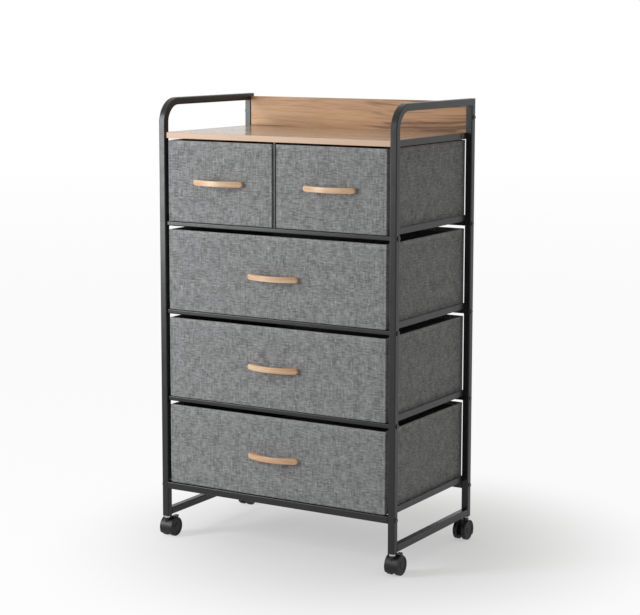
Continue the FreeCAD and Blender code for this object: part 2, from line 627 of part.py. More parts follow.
def handle(tier, x_low, x_high):
    """Bowed wooden pull with rounded ends, softened outer edges and blind holes for its screws."""
    x, z = handle_middle(tier, x_low, x_high)
    low_z = z - HANDLE_HEIGHT / 2
    half = HANDLE_LENGTH / 2
    span = half - HANDLE_FOOT

    def at(along, reach):
        return FreeCAD.Vector(along, DRAWER_FRONT_Y - reach, low_z)

    outline = [
        Part.Arc(at(-half, HANDLE_FOOT_REACH), at(0, HANDLE_REACH), at(half, HANDLE_FOOT_REACH)),
        Part.LineSegment(at(half, HANDLE_FOOT_REACH), at(half, 0)),
        Part.LineSegment(at(half, 0), at(span, 0)),
        Part.Arc(at(span, 0), at(0, HANDLE_REACH - HANDLE_THICKNESS), at(-span, 0)),
        Part.LineSegment(at(-span, 0), at(-half, 0)),
        Part.LineSegment(at(-half, 0), at(-half, HANDLE_FOOT_REACH)),
    ]
    section = Part.Face(Part.Wire([edge.toShape() for edge in outline]))
    bow = section.extrude(AXES["z"] * HANDLE_HEIGHT)
    ends_low = (-half, DRAWER_FRONT_Y - 2 * HANDLE_REACH, low_z)
    ends_high = (half, DRAWER_FRONT_Y + HANDLE_REACH, low_z + HANDLE_HEIGHT)
    bow = bow.common(rounded_bar("y", ends_low, ends_high, HANDLE_END_RADIUS))
    bow = bow.makeFillet(HANDLE_EDGE, crown_edges(bow))
    pilots = []
    for sign in (-1, 1):
        start = (sign * HANDLE_SCREW_X, DRAWER_FRONT_Y - HANDLE_SCREW_REACH, z)
        pilots.append(rod("y", start, HANDLE_SCREW_REACH, HANDLE_SCREW_RADIUS + SCREW_PILOT_FIT))
    bow = bow.cut(pilots)
    bow.translate(AXES["x"] * x)
    return bow


def handle_screws(tier, x_low, x_high):
    """Two screws from inside the drawer into the feet of the handle."""
    inner_face = DRAWER_FRONT_Y + DRAWER_WALL
    screws = []
    for x, z in handle_screw_points(tier, x_low, x_high):
        tip = DRAWER_FRONT_Y - HANDLE_SCREW_REACH
        shank = rod("y", (x, tip, z), inner_face - tip, HANDLE_SCREW_RADIUS)
        head = rod("y", (x, inner_face, z), HANDLE_SCREW_HEAD_HEIGHT, HANDLE_SCREW_HEAD_RADIUS)
        screws.append(shank.fuse(head).removeSplitter())
    return screws


def build_frame():
    for name, side in (("left", -1), ("right", 1)):
        save(f"{name}_hoop", hoop(side))
        save(f"{name}_rear_post", rear_post(side))
        save(f"{name}_side_rails", *side_rails(side))
    save("front_bottom_rail", bottom_rail(FRONT_POST_Y))
    save("rear_bottom_rail", bottom_rail(REAR_POST_Y))
    for name, tier in (("lower", 1), ("middle", 2), ("upper", 3)):
        save(f"front_{name}_rail", tier_rail(RAIL_FRONT_Y, tier))
    save("rear_tier_rails", *[tier_rail(RAIL_REAR_Y, tier) for tier in range(1, TIERS)])
    save("front_divider", divider(RAIL_FRONT_Y))
    save("rear_divider", divider(RAIL_REAR_Y))
    save("top_board", top_board())
    save("back_board", back_board())
    save("frame_bolts", *frame_bolts())
    save("board_screws", *board_screws())
    save("back_board_bolts", *back_board_bolts())
    save("post_sockets", *[post_socket(x, y) for x, y in CASTERS.values()])
    save("caster_stems", *[caster_stem(x, y) for x, y in CASTERS.values()])


def build_drawers():
    for name, place in DRAWERS.items():
        save(f"{name}_box", drawer_box(*place))
        save(f"{name}_base_board", base_board(*place))
        save(f"{name}_handle", handle(*place))
        save(f"{name}_handle_screws", *handle_screws(*place))


def build_casters():
    for corner in CASTERS:
        save(f"{corner}_caster_housing", placed(caster_housing(corner in BRAKED), corner))
        save(f"{corner}_caster_axle", placed(caster_axle(), corner))
        for name, side in (("left", -1), ("right", 1)):
            save(f"{corner}_caster_{name}_wheel", placed(caster_wheel(side), corner))
        if corner in BRAKED:
            save(f"{corner}_brake_lever", placed(brake_lever(), corner))


os.makedirs("parts", exist_ok=True)
build_frame()
build_drawers()
build_casters()
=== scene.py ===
"""Looks for the fabric drawer dresser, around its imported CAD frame. Lengths are in metres.

+X is to the right of someone facing the drawers, +Y to the back, +Z up, and the floor is at Z = 0.
"""

import math
from collections import namedtuple

import bpy
from mathutils import Matrix, Vector, noise


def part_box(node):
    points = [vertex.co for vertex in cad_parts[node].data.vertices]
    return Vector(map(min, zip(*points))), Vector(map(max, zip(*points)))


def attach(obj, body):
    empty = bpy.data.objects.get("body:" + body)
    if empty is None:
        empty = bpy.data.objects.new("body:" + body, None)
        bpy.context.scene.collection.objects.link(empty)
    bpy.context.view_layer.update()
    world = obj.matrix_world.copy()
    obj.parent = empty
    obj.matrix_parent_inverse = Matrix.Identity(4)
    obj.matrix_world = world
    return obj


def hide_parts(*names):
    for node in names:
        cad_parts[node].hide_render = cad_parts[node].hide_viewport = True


MM = 0.001
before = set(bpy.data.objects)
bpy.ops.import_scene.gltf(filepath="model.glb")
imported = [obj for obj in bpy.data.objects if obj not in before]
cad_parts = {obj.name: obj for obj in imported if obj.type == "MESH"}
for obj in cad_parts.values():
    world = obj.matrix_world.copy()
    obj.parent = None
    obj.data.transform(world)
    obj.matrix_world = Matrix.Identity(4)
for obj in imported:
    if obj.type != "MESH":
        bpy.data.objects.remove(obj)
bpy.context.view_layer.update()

DRAWERS = ("top_left_drawer", "top_right_drawer", "upper_drawer", "middle_drawer", "lower_drawer")

# ---------------------------------------------------------------- node trees

# Most values of a noise texture lie between these two
NOISE_LOW, NOISE_HIGH = 0.3, 0.7


class Tree:
    """Short calls that add nodes to a material or a world."""

    def __init__(self, owner):
        owner.use_nodes = True
        self.tree = owner.node_tree
        self.tree.nodes.clear()

    def add(self, kind, inputs=(), **settings):
        """Adds a node; inputs maps a socket's name or index to a value or to another socket."""
        made = self.tree.nodes.new(kind)
        for key, value in settings.items():
            setattr(made, key, value)
        for key, value in dict(inputs).items():
            if isinstance(value, bpy.types.NodeSocket):
                self.tree.links.new(value, made.inputs[key])
            else:
                made.inputs[key].default_value = value
        return made

    def math(self, operation, a, b=0.0):
        return self.add("ShaderNodeMath", {0: a, 1: b}, operation=operation).outputs[0]

    def times(self, a, b):
        return self.math("MULTIPLY", a, b)

    def plus(self, a, b):
        return self.math("ADD", a, b)

    def minus(self, a, b):
        return self.math("SUBTRACT", a, b)

    def weigh(self, *parts):
        """The sum of values, each times its share."""
        total = 0.0
        for value, share in parts:
            total = self.plus(self.times(value, share), total)
        return total

    def ramp(self, value, low, high, to_low=0.0, to_high=1.0):
        """Maps low..high smoothly onto to_low..to_high, and holds the end values outside."""
        inputs = {0: value, 1: low, 2: high, 3: to_low, 4: to_high}
        return self.add("ShaderNodeMapRange", inputs, interpolation_type="SMOOTHSTEP").outputs[0]

    def spread(self, value, to_low, to_high):
        """Maps the usual range of a noise value onto to_low..to_high."""
        return self.ramp(value, NOISE_LOW, NOISE_HIGH, to_low, to_high)

    def choose(self, share, a, b):
        """A number from a, at a share of 0, to b, at 1."""
        return self.add("ShaderNodeMix", {0: share, 2: a, 3: b}, data_type="FLOAT").outputs[0]

    def mix(self, share, a, b):
        """A colour from a, at a share of 0, to b, at 1."""
        return self.add("ShaderNodeMix", {0: share, 6: a, 7: b}, data_type="RGBA").outputs[2]

    def noise(self, vector, scale, detail=2.0, roughness=0.5, distortion=0.0):
        inputs = {"Vector": vector, "Scale": scale, "Detail": detail}
        inputs.update({"Roughness": roughness, "Distortion": distortion})
        return self.add("ShaderNodeTexNoise", inputs).outputs["Fac"]

    def combine(self, x, y, z=0.0):
        return self.add("ShaderNodeCombineXYZ", {0: x, 1: y, 2: z}).outputs[0]

    def place(self):
        """The piece's own coordinates, as a vector and as numbers, and its normal as numbers."""
        coordinates = self.add("ShaderNodeTexCoord")
        point = self.add("ShaderNodeSeparateXYZ", {0: coordinates.outputs["Object"]})
        normal = self.add("ShaderNodeSeparateXYZ", {0: coordinates.outputs["Normal"]})
        return coordinates.outputs["Object"], list(point.outputs), list(normal.outputs)

    def bump(self, height, distance, strength):
        inputs = {"Height": height, "Distance": distance, "Strength": strength}
        return self.add("ShaderNodeBump", inputs).outputs["Normal"]

    def finish(self, **inputs):
        """Ends the tree in a Principled shader; the names use _ for a space."""
        shader = self.add("ShaderNodeBsdfPrincipled", {k.replace("_", " "): v for k, v in inputs.items()})
        self.add("ShaderNodeOutputMaterial", {"Surface": shader.outputs[0]})


def material(name, build, *settings):
    made = bpy.data.materials.new(name)
    build(Tree(made), *settings)
    return made


def rgb(r, g, b):
    return (r, g, b, 1.0)


def grey(value):
    return rgb(value, value, value)


# ---------------------------------------------------------------- paint, metal and plastic


def build_powder_coat(t):
    """Satin black powder coat: fine orange peel and a slightly uneven gloss."""
    point, _, _ = t.place()
    peel = t.noise(point, scale=700.0)
    cloud = t.noise(point, scale=30.0, detail=3.0)
    tone = t.mix(cloud, grey(0.0075), grey(0.0115))
    gloss = t.spread(cloud, 0.30, 0.36)
    normal = t.bump(peel, distance=0.12 * MM, strength=0.3)
    t.finish(Base_Color=tone, Roughness=gloss, Normal=normal, Specular_IOR_Level=0.38)


def build_bolt(t):
    """Black finish of the bolts and the board screws."""
    point, _, _ = t.place()
    cloud = t.noise(point, scale=260.0, detail=3.0)
    tone = t.mix(cloud, rgb(0.008, 0.008, 0.009), rgb(0.02, 0.02, 0.022))
    t.finish(Base_Color=tone, Roughness=t.spread(cloud, 0.24, 0.36), IOR=1.6)


def build_steel(t):
    """Zinc plated steel with fine turning marks round a vertical axis."""
    point, (_, _, z), _ = t.place()
    marks = t.noise(t.combine(0.0, 0.0, z), scale=4200.0)
    cloud = t.noise(point, scale=180.0, detail=3.0)
    tone = t.mix(cloud, rgb(0.42, 0.42, 0.43), rgb(0.66, 0.66, 0.67))
    t.finish(Base_Color=tone, Metallic=1.0, Roughness=t.spread(marks, 0.22, 0.38))


PLASTIC_UNEVEN = 0.05  # roughness above and below the middle one


def build_plastic(t, rough):
    """Black moulded plastic with a fine spark-eroded texture."""
    point, _, _ = t.place()
    grain = t.noise(point, scale=1500.0, detail=3.0)
    cloud = t.noise(point, scale=90.0, detail=3.0)
    tone = t.mix(cloud, grey(0.006), grey(0.011))
    gloss = t.spread(cloud, rough - PLASTIC_UNEVEN, rough + PLASTIC_UNEVEN)
    normal = t.bump(grain, distance=0.08 * MM, strength=0.5)
    t.finish(Base_Color=tone, Roughness=gloss, Normal=normal, Specular_IOR_Level=0.33)


# ---------------------------------------------------------------- wood

OAK_LIGHT, OAK_MID, OAK_DARK = rgb(0.62, 0.42, 0.27), rgb(0.50, 0.315, 0.185), rgb(0.27, 0.15, 0.08)
OAK_EDGE = rgb(0.60, 0.405, 0.28)
BACK_LIGHT, BACK_MID, BACK_DARK = rgb(0.60, 0.35, 0.175), rgb(0.40, 0.205, 0.09), rgb(0.075, 0.032, 0.012)
PULL_LIGHT, PULL_MID, PULL_DARK = rgb(0.71, 0.50, 0.33), rgb(0.57, 0.33, 0.185), rgb(0.40, 0.20, 0.10)

SEED_STEPS = (1.0, 1.7, 0.3)  # how far a seed moves a pattern along each axis
FACING = (0.5, 0.8)  # a face turns from not facing an axis to facing it as that part of its normal rises
EDGE_ROUGHNESS = 0.48
BENDS_ALONG, BENDS_ACROSS = 2.6, 9.0  # steps of the bending noise for each metre of a board
GRAIN_BEND = 30 * MM  # across the board, from the lowest to the highest value of that noise
PULL_LAYERS = 400.0  # for each metre from the front to the back of a pull


def wood_streaks(t, along, across, depth, length, width, seed):
    """Fibres drawn out along one coordinate, for wood and printed laminate."""
    spot = t.combine(t.times(along, 1 / length), t.times(across, 1 / width), depth)
    shift = tuple(seed * step for step in SEED_STEPS)
    shifted = t.add("ShaderNodeVectorMath", {0: spot, 1: shift}, operation="ADD").outputs[0]
    return t.noise(shifted, scale=1.0, detail=5.0, roughness=0.62, distortion=0.35)


def build_laminate(t, lying, dark_share, smoothest, light, mid, dark):
    """Printed oak laminate on a lying or standing board, and a plainer band on its edges."""
    _, (x, y, z), (_, ny, nz) = t.place()
    level = t.ramp(t.math("ABSOLUTE", nz), *FACING)
    across = t.choose(level, z, y)
    waves = t.noise(t.combine(t.times(x, BENDS_ALONG), t.times(across, BENDS_ACROSS)), scale=1.0)
    bent = t.plus(across, t.times(t.minus(waves, 0.5), GRAIN_BEND))
    broad = wood_streaks(t, x, bent, 0.0, length=420 * MM, width=16 * MM, seed=3.0)
    fine = wood_streaks(t, x, bent, 0.0, length=110 * MM, width=2.2 * MM, seed=11.0)
    pores = wood_streaks(t, x, across, 0.0, length=18 * MM, width=0.7 * MM, seed=23.0)
    tone = t.mix(t.ramp(broad, 0.36, 0.66), light, mid)
    tone = t.mix(t.ramp(broad, 0.52, 0.64, to_high=dark_share), tone, dark)
    tone = t.mix(t.ramp(fine, 0.50, 0.74, to_high=0.45), tone, dark)
    tone = t.mix(t.ramp(pores, 0.62, 0.78, to_high=0.30), tone, dark)
    band = t.mix(t.ramp(fine, 0.45, 0.75, to_high=0.35), OAK_EDGE, mid)
    face = t.ramp(level, 0.3, 0.7) if lying else t.ramp(t.math("ABSOLUTE", ny), *FACING)
    relief = t.weigh((pores, 0.6), (fine, 0.4))
    sheen = t.spread(fine, smoothest, smoothest + 0.1)
    t.finish(
        Base_Color=t.mix(face, band, tone),
        Roughness=t.choose(face, EDGE_ROUGHNESS, sheen),
        Normal=t.bump(relief, distance=0.1 * MM, strength=0.4),
        IOR=1.46,
    )


def build_handle_wood(t):
    """Pale solid wood with grain along the pull, lacquered."""
    _, (x, y, z), _ = t.place()
    layers = t.times(y, PULL_LAYERS)
    broad = wood_streaks(t, x, z, y, length=90 * MM, width=6 * MM, seed=5.0)
    fine = wood_streaks(t, x, z, layers, length=30 * MM, width=1.1 * MM, seed=17.0)
    tone = t.mix(t.ramp(broad, 0.35, 0.68), PULL_LIGHT, PULL_MID)
    tone = t.mix(t.ramp(fine, 0.5, 0.75, to_high=0.4), tone, PULL_DARK)
    normal = t.bump(fine, distance=0.15 * MM, strength=0.4)
    t.finish(Base_Color=tone, Roughness=t.spread(fine, 0.30, 0.40), Normal=normal, IOR=1.48)


def build_fibreboard(t):
    """Plain brown fibreboard: short mixed fibres."""
    point, _, _ = t.place()
    fibre = t.noise(point, scale=420.0, detail=6.0, roughness=0.7, distortion=1.2)
    cloud = t.noise(point, scale=22.0, detail=3.0)
    tone = t.mix(t.ramp(fibre, 0.35, 0.65), rgb(0.30, 0.20, 0.125), rgb(0.42, 0.30, 0.20))
    tone = t.mix(t.times(cloud, 0.3), tone, rgb(0.25, 0.165, 0.10))
    t.finish(Base_Color=tone, Roughness=0.8, Normal=t.bump(fibre, distance=0.3 * MM, strength=0.5))


# ---------------------------------------------------------------- cloth

THREAD_PITCH = 0.7 * MM
FLOOR_FACING = (0.6, 0.8)  # like FACING, for a drawer's floor
CLOTH_DARK, CLOTH_LIGHT = rgb(0.141, 0.142, 0.143), rgb(0.372, 0.374, 0.377)
HEM_DARK, HEM_LIGHT = grey(0.165), grey(0.43)
LIGHT_YARN, DARK_YARN, WEAVE_SHADE = grey(0.62), grey(0.07), grey(0.0)


def weave_place(t):
    """Along and up a drawer's wall, which meet without a break at its corners, or across its floor."""
    _, (x, y, z), (_, _, nz) = t.place()
    level = t.ramp(t.math("ABSOLUTE", nz), *FLOOR_FACING)
    return t.choose(level, t.plus(x, y), x), t.choose(level, z, y)


def slubs(t, along, across, length, width, seed):
    """Uneven threads: a value that changes fast across them and slowly along them."""
    scaled = t.combine(t.times(along, 1 / length), t.times(across, 1 / width), seed)
    return t.noise(scaled, scale=1.0, detail=3.0, roughness=0.6)


def build_fabric(t, dark, light, slub_share):
    """Linen-look cloth of mixed grey yarn: slubs both ways over a plain weave."""
    along, up = weave_place(t)
    long_weft = slubs(t, along, up, length=14 * MM, width=3.0 * MM, seed=5.0)
    long_warp = slubs(t, up, along, length=17 * MM, width=4.0 * MM, seed=14.0)
    weft = slubs(t, along, up, length=9.5 * MM, width=1.2 * MM, seed=3.0)
    warp = slubs(t, up, along, length=8.5 * MM, width=1.6 * MM, seed=9.0)
    fine_weft = slubs(t, along, up, length=3.2 * MM, width=0.5 * MM, seed=21.0)
    fine_warp = slubs(t, up, along, length=3.2 * MM, width=0.5 * MM, seed=33.0)
    patches = t.noise(t.combine(along, up), scale=42.0)
    streaks = t.weigh((long_weft, 0.60), (long_warp, 0.40))
    threads = t.weigh((weft, 0.62), (warp, 0.38))
    fibres = t.weigh((fine_weft, 0.5), (fine_warp, 0.5))
    value = t.weigh((streaks, 0.50), (threads, 0.26), (fibres, 0.10), (patches, 0.14))
    tone = t.mix(t.ramp(value, 0.39, 0.61), dark, light)
    bright = t.ramp(t.math("MAXIMUM", long_weft, long_warp), 0.60, 0.76, to_high=slub_share)
    tone = t.mix(bright, tone, LIGHT_YARN)
    shade = t.ramp(t.math("MINIMUM", long_weft, long_warp), 0.26, 0.42, to_low=0.26, to_high=0.0)
    tone = t.mix(shade, tone, DARK_YARN)
    turn = math.tau / THREAD_PITCH
    knit = t.times(t.math("SINE", t.times(along, turn)), t.math("SINE", t.times(up, turn)))
    tone = t.mix(t.ramp(knit, -1.0, 1.0, to_high=0.22), tone, WEAVE_SHADE)
    t.finish(
        Base_Color=tone,
        Roughness=0.92,
        Normal=t.bump(t.plus(t.times(knit, 0.25), value), distance=0.4 * MM, strength=0.7),
        Specular_IOR_Level=0.22,
        Sheen_Weight=0.12,
        Sheen_Roughness=0.5,
    )


def build_lining(t):
    """Pressed non-woven lining: a dimpled black-grey felt."""
    along, up = weave_place(t)
    spot = t.combine(along, up)
    spots = t.add("ShaderNodeTexVoronoi", {"Vector": spot, "Scale": 620.0}, distance="EUCLIDEAN")
    felt = t.noise(spot, scale=900.0, detail=4.0, roughness=0.7)
    dimple = t.ramp(spots.outputs["Distance"], 0.1, 0.5)
    tone = t.mix(felt, rgb(0.075, 0.075, 0.078), rgb(0.14, 0.14, 0.144))
    normal = t.bump(t.plus(dimple, t.times(felt, 0.5)), distance=0.2 * MM, strength=0.6)
    t.finish(Base_Color=tone, Roughness=0.9, Normal=normal, Specular_IOR_Level=0.25)


def build_thread(t):
    """Twisted grey sewing thread."""
    point, _, _ = t.place()
    twist = t.noise(point, scale=2600.0)
    tone = t.mix(twist, rgb(0.13, 0.13, 0.135), rgb(0.27, 0.27, 0.275))
    normal = t.bump(twist, distance=0.1 * MM, strength=0.5)
    t.finish(Base_Color=tone, Roughness=0.7, Sheen_Weight=0.2, Normal=normal)


powder_coat = material("powder_coat", build_powder_coat)
bolt_black = material("bolt_black", build_bolt)
steel = material("steel", build_steel)
caster_plastic = material("caster_plastic", build_plastic, 0.42)
wheel_plastic = material("wheel_plastic", build_plastic, 0.50)
top_laminate = material("top_laminate", build_laminate, True, 0.22, 0.14, OAK_LIGHT, OAK_MID, OAK_DARK)
back_laminate = material("back_laminate", build_laminate, False, 0.75, 0.42, BACK_LIGHT, BACK_MID, BACK_DARK)
handle_wood = material("handle_wood", build_handle_wood)
fibreboard = material("fibreboard", build_fibreboard)
drawer_fabric = material("drawer_fabric", build_fabric, CLOTH_DARK, CLOTH_LIGHT, 0.42)
hem_fabric = material("hem_fabric", build_fabric, HEM_DARK, HEM_LIGHT, 0.30)
lining = material("lining", build_lining)
thread = material("thread", build_thread)

# ---------------------------------------------------------------- CAD nodes

FINISHES = {
    "top_board": top_laminate,
    "back_board": back_laminate,
    "bolts": bolt_black,
    "board_screws": bolt_black,
    "post_sockets": caster_plastic,
    "caster_stems": steel,
    "handle_screws": steel,
    "caster_axle": steel,
    "caster_housing": caster_plastic,
    "brake_lever": caster_plastic,
    "wheel": wheel_plastic,
    "base_board": fibreboard,
    "handle": handle_wood,
}


def finish_of(name):
    """A node's material, by the end of its name; the rest is the painted frame."""
    for ending, finish in FINISHES.items():
        if name.endswith(ending):
            return finish
    return powder_coat


for node_name, node_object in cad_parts.items():
    node_object.data.materials.clear()
    node_object.data.materials.append(finish_of(node_name))

# ---------------------------------------------------------------- mesh helpers

CORNER_STEPS = 6

# A point of a rounded rectangle: its place, its outward normal, its side (-1 on a corner), and how far
# along the straight part of that side it lies, with that part's length
Spot = namedtuple("Spot", "x y nx ny side reach length")


def new_object(name, mesh, *finishes):
    made = bpy.data.objects.new(name, mesh)
    bpy.context.collection.objects.link(made)
    for finish in finishes:
        mesh.materials.append(finish)
    return made


def mesh_of(name, points, faces, smooth=True):
    mesh = bpy.data.meshes.new(name)
    mesh.from_pydata(points, [], faces)
    mesh.validate()
    if smooth:
        mesh.shade_smooth()
    return mesh


def side_stops(length, stops, step):
    """Distances along a side: the given stops from both its ends, and even steps between the last two."""
    middle = length - 2 * stops[-1]
    count = max(2, round(middle / step))
    even = [stops[-1] + middle * i / count for i in range(count + 1)]
    return sorted(set(list(stops[:-1]) + even + [length - value for value in stops[:-1]]))


def outline(low, high, corner, stops, step):
    """Spots round a rounded rectangle, closer together near its corners."""
    x0, y0, x1, y1 = low.x + corner, low.y + corner, high.x - corner, high.y - corner
    sides = (
        ((x0, low.y), (x1, low.y), (0, -1)),
        ((high.x, y0), (high.x, y1), (1, 0)),
        ((x1, high.y), (x0, high.y), (0, 1)),
        ((low.x, y1), (low.x, y0), (-1, 0)),
    )
    centres = ((x1, y0), (x1, y1), (x0, y1), (x0, y0))
    ring = []
    for index, ((ax, ay), (bx, by), normal) in enumerate(sides):
        length = math.hypot(bx - ax, by - ay)
        for reach in side_stops(length, stops, step):
            share = reach / length
            x, y = ax + (bx - ax) * share, ay + (by - ay) * share
            ring.append(Spot(x, y, *normal, index, reach, length))
        cx, cy = centres[index]
        start = math.atan2(normal[1], normal[0])
        for i in range(1, CORNER_STEPS):
            angle = start + math.pi / 2 * i / CORNER_STEPS
            nx, ny = math.cos(angle), math.sin(angle)
            ring.append(Spot(cx + corner * nx, cy + corner * ny, nx, ny, -1, 0.0, 0.0))
    return ring


def lofted(rings):
    """Points and faces between closed rings of equally many points, in order."""
    count = len(rings[0])
    points = [point for ring in rings for point in ring]
    faces = []
    for level in range(len(rings) - 1):
        base, above = level * count, (level + 1) * count
        for i in range(count):
            j = (i + 1) % count
            faces.append((base + i, base + j, above + j, above + i))
    return points, faces


# ---------------------------------------------------------------- drawers: cloth and lining

WALL = 4.0 * MM
FLOOR = 3.0 * MM
DRAWER_CORNER = 3.0 * MM
INNER_CORNER = 1.5 * MM
HEM = 9.0 * MM  # height of the binding
HEM_THICK = 0.9 * MM  # room left for the binding on the wall's faces and over its rim
FLANGE = 6.5 * MM  # from the edge of a panel to the middle of its stitched groove
GROOVE = 0.25 * MM  # depth
GROOVE_HALF = 0.9 * MM  # half its width

# Stops along a side, from the end of its rounded corner; SEAM is the middle of the stitched groove
NEAR_CORNER = 4 * MM
SEAM = FLANGE - DRAWER_CORNER
SHELL_STOPS = (0.0, SEAM - GROOVE_HALF, SEAM, NEAR_CORNER, SEAM + GROOVE_HALF)
RING_STEP = 8 * MM

# Insets of the cloth from the drawer's full size: at a corner, over a panel's edges, and the least
CORNER_INSET, PANEL_INSET, LEAST_INSET = 0.35 * MM, 0.75 * MM, 0.05 * MM
PANEL_SWELL = 0.3 * MM
SWELL_FADE = 30 * MM  # from the edges of a panel to its full swell
SLACK_BROAD, SLACK_SMALL = 0.42 * MM, 0.16 * MM
# Steps of the noise for each metre across and up
BROAD_ACROSS, BROAD_UP = 11, 14
SMALL_ACROSS, SMALL_UP = 42, 38
PUCKER = 0.12 * MM
PUCKER_REACH = 14 * MM
PUCKER_RATE = 380.0  # radians for each metre up

# In millimetres: height over the drawer's underside, and inset
FOOT_PROFILE = ((0.02, 3.4), (0.45, 1.9), (1.4, 0.95))
# In millimetres: height over the drawer's floor, and inset from the wall's inner face
FLOOR_PROFILE = ((0.8, 0.1), (0.0, 1.0))
# In millimetres: drop below the rim under the binding, and inset from the wall's face there
RIM_PROFILE = ((1.2, 0.0), (0.3, 0.3), (0.0, 0.9))

# Levels of a panel over the drawer's underside
LOW_LEVELS = (2.6 * MM, 4.2 * MM)
GROOVE_SHARES = (-1.0, -0.5, 0.0, 0.5, 1.0)  # from the middle of the bottom groove, for its half width
PANEL_START = 9.5 * MM
PANEL_STEPS = 20
UNDER_BINDING = 1.5 * MM  # the shell's first level there, over the binding's lower edge

LINING_DROP = 14.0 * MM  # from the rim to the level where the lining's straight wall starts
LINING_STEPS = 8
LINING_FOOT = 3 * MM  # lowest level of its wall, over the drawer's floor
LINING_TOP_BEHIND, LINING_BEHIND = 0.2 * MM, 0.15 * MM  # behind the CAD wall's inner face


def inset_ring(ring, low, high, inset, z):
    """The ring moved inwards at one height; its corners get tighter, down to the inner radius."""
    middle = (low + high) / 2
    half = (high - low) / 2
    tight = max(0.0, inset + INNER_CORNER - DRAWER_CORNER)
    radius = DRAWER_CORNER - inset + tight
    moved = []
    for spot in ring:
        centre = [spot.x - spot.nx * DRAWER_CORNER - middle.x, spot.y - spot.ny * DRAWER_CORNER - middle.y]
        for axis in (0, 1):
            full = half[axis] - DRAWER_CORNER
            centre[axis] *= (full - tight) / full
        moved.append((middle.x + centre[0] + spot.nx * radius, middle.y + centre[1] + spot.ny * radius, z))
    return moved


def groove(distance):
    """Depth of a stitched groove at a distance from its middle."""
    return GROOVE * max(0.0, 1 - (distance / GROOVE_HALF) ** 2)


def slack(x, y, z, seed):
    """Gentle unevenness of cloth over a stiff panel."""
    broad = noise.noise(Vector((x * BROAD_ACROSS, y * BROAD_ACROSS, z * BROAD_UP + seed)))
    small = noise.noise(Vector((x * SMALL_ACROSS + seed, y * SMALL_ACROSS, z * SMALL_UP)))
    return SLACK_BROAD * broad + SLACK_SMALL * small


def panel_inset(spot, z, z_low, z_high, seed):
    """How far the cloth lies inside the drawer's full size at a point of its wall."""
    if spot.side < 0:
        return CORNER_INSET
    from_edge = min(spot.reach, spot.length - spot.reach) + DRAWER_CORNER
    from_bottom = z - z_low
    fade = min(1.0, min(from_edge, from_bottom, z_high - z) / SWELL_FADE)
    inset = PANEL_INSET - PANEL_SWELL * fade + slack(spot.x, spot.y, z, seed) * fade
    inset += groove(from_edge - FLANGE) + groove(from_bottom - FLANGE)
    pucker = PUCKER * math.exp(-from_edge / PUCKER_REACH) * math.sin(z * PUCKER_RATE + seed)
    return max(LEAST_INSET, inset + pucker)


def panel_heights(height):
    """Levels of a drawer's outside over its underside, from its folded foot to its binding."""
    grooves = [FLANGE + share * GROOVE_HALF for share in GROOVE_SHARES]
    rise = height - HEM - PANEL_START
    return [*LOW_LEVELS, *grooves, *(PANEL_START + rise * i / PANEL_STEPS for i in range(PANEL_STEPS + 1))]


def drawer_shell(name, low, high, seed):
    """Cloth over the stiff panels of a drawer, outside, over the rim, and the lining inside."""
    ring = outline(low, high, DRAWER_CORNER, SHELL_STOPS, RING_STEP)
    rings = []

    def level(z, inset):
        rings.append(inset_ring(ring, low, high, inset, z))

    def panel_level(z):
        row = []
        for spot in ring:
            inset = panel_inset(spot, z, low.z, high.z, seed)
            row.append((spot.x - spot.nx * inset, spot.y - spot.ny * inset, z))
        rings.append(row)

    for rise, inset in FOOT_PROFILE:
        level(low.z + rise * MM, inset * MM)
    for height in panel_heights(high.z - low.z):
        panel_level(low.z + height)
    rim = high.z - HEM_THICK
    level(high.z - HEM + UNDER_BINDING, HEM_THICK)
    for drop, inset in RIM_PROFILE:
        level(rim - drop * MM, HEM_THICK + inset * MM)
    for drop, inset in reversed(RIM_PROFILE):
        level(rim - drop * MM, WALL - HEM_THICK - inset * MM)
    outer_levels = len(rings)
    lining_top = high.z - LINING_DROP
    lining_height = lining_top - low.z - FLOOR - LINING_FOOT
    level(lining_top, WALL - LINING_TOP_BEHIND)
    for i in range(1, LINING_STEPS + 1):
        level(lining_top - lining_height * i / LINING_STEPS, WALL - LINING_BEHIND)
    for rise, inset in FLOOR_PROFILE:
        level(low.z + FLOOR + rise * MM, WALL + inset * MM)
    points, faces = lofted(rings)
    count = len(ring)
    faces.append(tuple(reversed(range(count))))
    faces.append(tuple(range(len(points) - count, len(points))))
    mesh = mesh_of(name, points, faces)
    made = new_object(name, mesh, drawer_fabric, lining)
    for face in mesh.polygons:
        if min(face.vertices) >= (outer_levels - 1) * count:
            face.material_index = 1
    return made


# ---------------------------------------------------------------- drawers: binding and stitches

# In millimetres: height over the binding's lower edge outside, or depth below the rim inside, and inset
BINDING_OUTSIDE = (
    (0.0, 0.95), (0.05, 0.55), (0.5, 0.22), (1.3, 0.25), (1.8, 0.45), (2.3, 0.25), (3.4, 0.15),
    (7.0, 0.12), (7.9, 0.2), (8.55, 0.6), (8.85, 1.3),
)
BINDING_INSIDE = (
    (0.12, 2.0), (0.15, 2.7), (0.45, 3.4), (1.1, 3.75), (2.0, 3.85), (6.7, 3.85), (7.2, 3.6),
    (7.7, 3.85), (8.6, 3.85), (8.95, 3.7), (9.0, 3.3),
)
BINDING_WAVE = 0.10 * MM
BINDING_ACROSS, BINDING_UP = 60, 20  # steps of the noise for each metre

STITCH_LENGTH = 3.0 * MM
STITCH_PITCH = 4.2 * MM
STITCH_RADIUS = 0.26 * MM
STITCH_SIDES = 5
STITCH_FLAT = 0.8  # thickness as a share of the width
